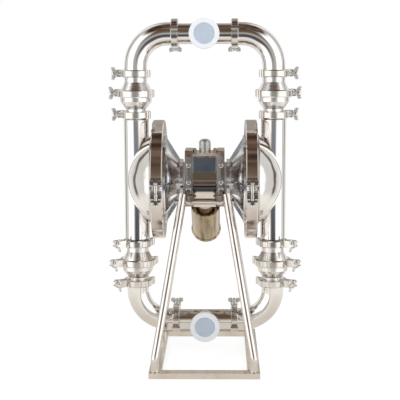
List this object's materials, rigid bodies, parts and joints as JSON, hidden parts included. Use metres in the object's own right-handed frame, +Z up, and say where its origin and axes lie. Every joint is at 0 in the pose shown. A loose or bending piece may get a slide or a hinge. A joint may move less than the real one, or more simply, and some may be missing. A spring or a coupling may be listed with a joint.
{
  "type": "air operated diaphragm pump",
  "caption": "Stainless air operated double diaphragm pump: twin dished chambers, clamped columns with ball valves, tee manifolds, air valve block, muffler and splayed legs.",
  "frame": {"origin": "on the floor, in the middle of the base frame's underside", "axes": "+Z up, -Y to the front where both ports face, X along the shaft"},
  "size_m": [0.4952, 0.4197, 0.8705],
  "materials": {
    "polished_stainless": "mirror polished stainless steel",
    "satin_stainless": "ground and satin polished stainless steel",
    "warm_steel": "satin stainless steel with weld tint at the corners",
    "nickel_plate": "nickel plated brass",
    "olive_brass": "dull olive green plated",
    "copper": "dull copper",
    "khaki_metal": "khaki brown metallic",
    "felt": "dark exhaust felt",
    "white_ptfe": "white PTFE",
    "milky_plastic": "milky translucent polyethylene"
  },
  "bodies": {
    "pump": {"air_chamber_left": "polished_stainless", "air_chamber_right": "polished_stainless", "air_inlet_fitting": "nickel_plate", "air_valve_body": "satin_stainless", "air_valve_cover": "satin_stainless", "band_clamp_fasteners": "satin_stainless", "band_clamp_left": "satin_stainless", "band_clamp_right": "satin_stainless", "base_frame": "warm_steel", "center_block": "satin_stainless", "clamp_pins": "polished_stainless", "diaphragm_left": "white_ptfe", "diaphragm_right": "white_ptfe", "discharge_tee": "polished_stainless", "elbows": "polished_stainless", "fluid_chamber_left": "polished_stainless", "fluid_chamber_right": "polished_stainless", "gaskets": "white_ptfe", "leg_bolts": "satin_stainless", "muffler_can": "khaki_metal", "muffler_neck": "nickel_plate", "muffler_packing": "felt", "shaft_bushes": "white_ptfe", "side_plates": "satin_stainless", "suction_tee": "polished_stainless", "support_legs": "satin_stainless", "swing_bolts": "polished_stainless", "tube_clamps": "polished_stainless", "valve_bowls": "polished_stainless", "valve_end_plugs": "satin_stainless", "valve_seats": "white_ptfe", "valve_tops": "polished_stainless", "vent_plug_left": "olive_brass", "vent_plug_right": "copper"},
    "shaft_assembly": {"diaphragm_shaft": "satin_stainless", "inner_plates": "satin_stainless", "outer_plates": "polished_stainless"},
    "air_valve_spool": {"valve_spool": "satin_stainless"},
    "discharge_ball_left": {"discharge_ball_left": "white_ptfe"},
    "discharge_ball_right": {"discharge_ball_right": "white_ptfe"},
    "suction_ball_left": {"suction_ball_left": "white_ptfe"},
    "suction_ball_right": {"suction_ball_right": "white_ptfe"},
    "discharge_cap": {"discharge_cap": "milky_plastic"},
    "suction_cap": {"suction_cap": "milky_plastic"},
    "wing_nut_discharge_lower_left": {"wing_nut_discharge_lower_left": "polished_stainless"},
    "wing_nut_discharge_lower_right": {"wing_nut_discharge_lower_right": "polished_stainless"},
    "wing_nut_discharge_middle_left": {"wing_nut_discharge_middle_left": "polished_stainless"},
    "wing_nut_discharge_middle_right": {"wing_nut_discharge_middle_right": "polished_stainless"},
    "wing_nut_discharge_tee_left": {"wing_nut_discharge_tee_left": "polished_stainless"},
    "wing_nut_discharge_tee_right": {"wing_nut_discharge_tee_right": "polished_stainless"},
    "wing_nut_discharge_upper_left": {"wing_nut_discharge_upper_left": "polished_stainless"},
    "wing_nut_discharge_upper_right": {"wing_nut_discharge_upper_right": "polished_stainless"},
    "wing_nut_suction_lower_left": {"wing_nut_suction_lower_left": "polished_stainless"},
    "wing_nut_suction_lower_right": {"wing_nut_suction_lower_right": "polished_stainless"},
    "wing_nut_suction_middle_left": {"wing_nut_suction_middle_left": "polished_stainless"},
    "wing_nut_suction_middle_right": {"wing_nut_suction_middle_right": "polished_stainless"},
    "wing_nut_suction_tee_left": {"wing_nut_suction_tee_left": "polished_stainless"},
    "wing_nut_suction_tee_right": {"wing_nut_suction_tee_right": "polished_stainless"},
    "wing_nut_suction_upper_left": {"wing_nut_suction_upper_left": "polished_stainless"},
    "wing_nut_suction_upper_right": {"wing_nut_suction_upper_right": "polished_stainless"}
  },
  "joints": [
    {"name": "shaft_stroke", "type": "slide", "parent": "pump", "child": "shaft_assembly", "axis": [1, 0, 0], "range_m": [-0.012, 0.012], "deforming": ["diaphragm_left", "diaphragm_right"]},
    {"name": "spool_shift", "type": "slide", "parent": "pump", "child": "air_valve_spool", "axis": [1, 0, 0], "range_m": [-0.007, 0.007]},
    {"name": "discharge_ball_left_lift", "type": "slide", "parent": "pump", "child": "discharge_ball_left", "axis": [0, 0, 1], "range_m": [0, 0.014]},
    {"name": "discharge_ball_right_lift", "type": "slide", "parent": "pump", "child": "discharge_ball_right", "axis": [0, 0, 1], "range_m": [0, 0.014]},
    {"name": "suction_ball_left_lift", "type": "slide", "parent": "pump", "child": "suction_ball_left", "axis": [0, 0, 1], "range_m": [0, 0.014]},
    {"name": "suction_ball_right_lift", "type": "slide", "parent": "pump", "child": "suction_ball_right", "axis": [0, 0, 1], "range_m": [0, 0.014]},
    {"name": "discharge_cap_pull", "type": "slide", "parent": "pump", "child": "discharge_cap", "axis": [0, -1, 0], "range_m": [0, 0.12]},
    {"name": "suction_cap_pull", "type": "slide", "parent": "pump", "child": "suction_cap", "axis": [0, -1, 0], "range_m": [0, 0.12]},
    {"name": "wing_nut_discharge_lower_left_spin", "type": "hinge", "parent": "pump", "child": "wing_nut_discharge_lower_left", "pos_m": [-0.23006, 0.0231, 0.63], "axis": [-0.6157, -0.788, 0], "continuous": true},
    {"name": "wing_nut_discharge_lower_right_spin", "type": "hinge", "parent": "pump", "child": "wing_nut_discharge_lower_right", "pos_m": [0.23006, 0.0231, 0.63], "axis": [0.6157, -0.788, 0], "continuous": true},
    {"name": "wing_nut_discharge_middle_left_spin", "type": "hinge", "parent": "pump", "child": "wing_nut_discharge_middle_left", "pos_m": [-0.23754, 0.02895, 0.684], "axis": [-0.6157, -0.788, 0], "continuous": true},
    {"name": "wing_nut_discharge_middle_right_spin", "type": "hinge", "parent": "pump", "child": "wing_nut_discharge_middle_right", "pos_m": [0.23754, 0.02895, 0.684], "axis": [0.6157, -0.788, 0], "continuous": true},
    {"name": "wing_nut_discharge_tee_left_spin", "type": "hinge", "parent": "pump", "child": "wing_nut_discharge_tee_left", "pos_m": [-0.0755, 0.04963, 0.79899], "axis": [0, -0.3256, -0.9455], "continuous": true},
    {"name": "wing_nut_discharge_tee_right_spin", "type": "hinge", "parent": "pump", "child": "wing_nut_discharge_tee_right", "pos_m": [0.0755, 0.04963, 0.79899], "axis": [0, -0.3256, -0.9455], "continuous": true},
    {"name": "wing_nut_discharge_upper_left_spin", "type": "hinge", "parent": "pump", "child": "wing_nut_discharge_upper_left", "pos_m": [-0.23006, 0.0231, 0.734], "axis": [-0.6157, -0.788, 0], "continuous": true},
    {"name": "wing_nut_discharge_upper_right_spin", "type": "hinge", "parent": "pump", "child": "wing_nut_discharge_upper_right", "pos_m": [0.23006, 0.0231, 0.734], "axis": [0.6157, -0.788, 0], "continuous": true},
    {"name": "wing_nut_suction_lower_left_spin", "type": "hinge", "parent": "pump", "child": "wing_nut_suction_lower_left", "pos_m": [-0.2203, -0.03901, 0.196], "axis": [0.4226, -0.9063, 0], "continuous": true},
    {"name": "wing_nut_suction_lower_right_spin", "type": "hinge", "parent": "pump", "child": "wing_nut_suction_lower_right", "pos_m": [0.2203, -0.03901, 0.196], "axis": [-0.4226, -0.9063, 0], "continuous": true},
    {"name": "wing_nut_suction_middle_left_spin", "type": "hinge", "parent": "pump", "child": "wing_nut_suction_middle_left", "pos_m": [-0.22891, -0.04303, 0.25], "axis": [0.4226, -0.9063, 0], "continuous": true},
    {"name": "wing_nut_suction_middle_right_spin", "type": "hinge", "parent": "pump", "child": "wing_nut_suction_middle_right", "pos_m": [0.22891, -0.04303, 0.25], "axis": [-0.4226, -0.9063, 0], "continuous": true},
    {"name": "wing_nut_suction_tee_left_spin", "type": "hinge", "parent": "pump", "child": "wing_nut_suction_tee_left", "pos_m": [-0.0755, 0.04963, 0.13101], "axis": [0, -0.3256, 0.9455], "continuous": true},
    {"name": "wing_nut_suction_tee_right_spin", "type": "hinge", "parent": "pump", "child": "wing_nut_suction_tee_right", "pos_m": [0.0755, 0.04963, 0.13101], "axis": [0, -0.3256, 0.9455], "continuous": true},
    {"name": "wing_nut_suction_upper_left_spin", "type": "hinge", "parent": "pump", "child": "wing_nut_suction_upper_left", "pos_m": [-0.2203, -0.03901, 0.3], "axis": [0.4226, -0.9063, 0], "continuous": true},
    {"name": "wing_nut_suction_upper_right_spin", "type": "hinge", "parent": "pump", "child": "wing_nut_suction_upper_right", "pos_m": [0.2203, -0.03901, 0.3], "axis": [-0.4226, -0.9063, 0], "continuous": true}
  ]
}
